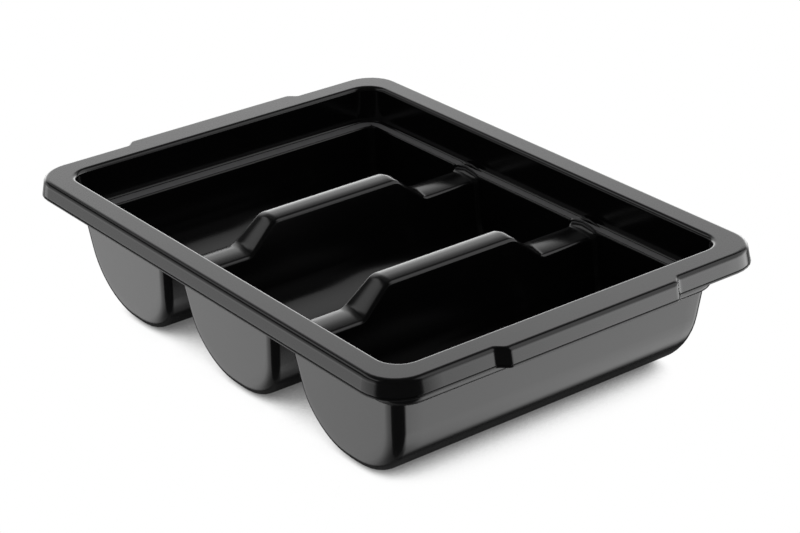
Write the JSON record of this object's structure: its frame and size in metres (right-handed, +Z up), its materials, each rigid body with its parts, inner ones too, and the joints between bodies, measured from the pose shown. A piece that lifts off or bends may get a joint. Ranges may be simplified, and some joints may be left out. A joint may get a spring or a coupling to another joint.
{
  "type": "cutlery bin",
  "caption": "Black moulded cutlery tray: round-bottomed compartments side by side, parted by humped dividers, under a turned-down rim with finger grips.",
  "frame": {"origin": "middle of the underside, on the plane that the tray stands on", "axes": "+X along the compartments, +Y across them towards the long side that is at the upper left in the picture, +Z up"},
  "size_m": [0.3022, 0.4268, 0.096],
  "materials": {
    "black_plastic": "glossy black injection-moulded plastic"
  },
  "bodies": {
    "root": {"rim_flange": "black_plastic", "skirt_left": "black_plastic", "skirt_right": "black_plastic", "grip_front": "black_plastic", "grip_back": "black_plastic", "collar": "black_plastic", "ledge": "black_plastic", "divider_front": "black_plastic", "divider_back": "black_plastic", "trough_front": "black_plastic", "trough_middle": "black_plastic", "trough_back": "black_plastic"}
  },
  "joints": []
}
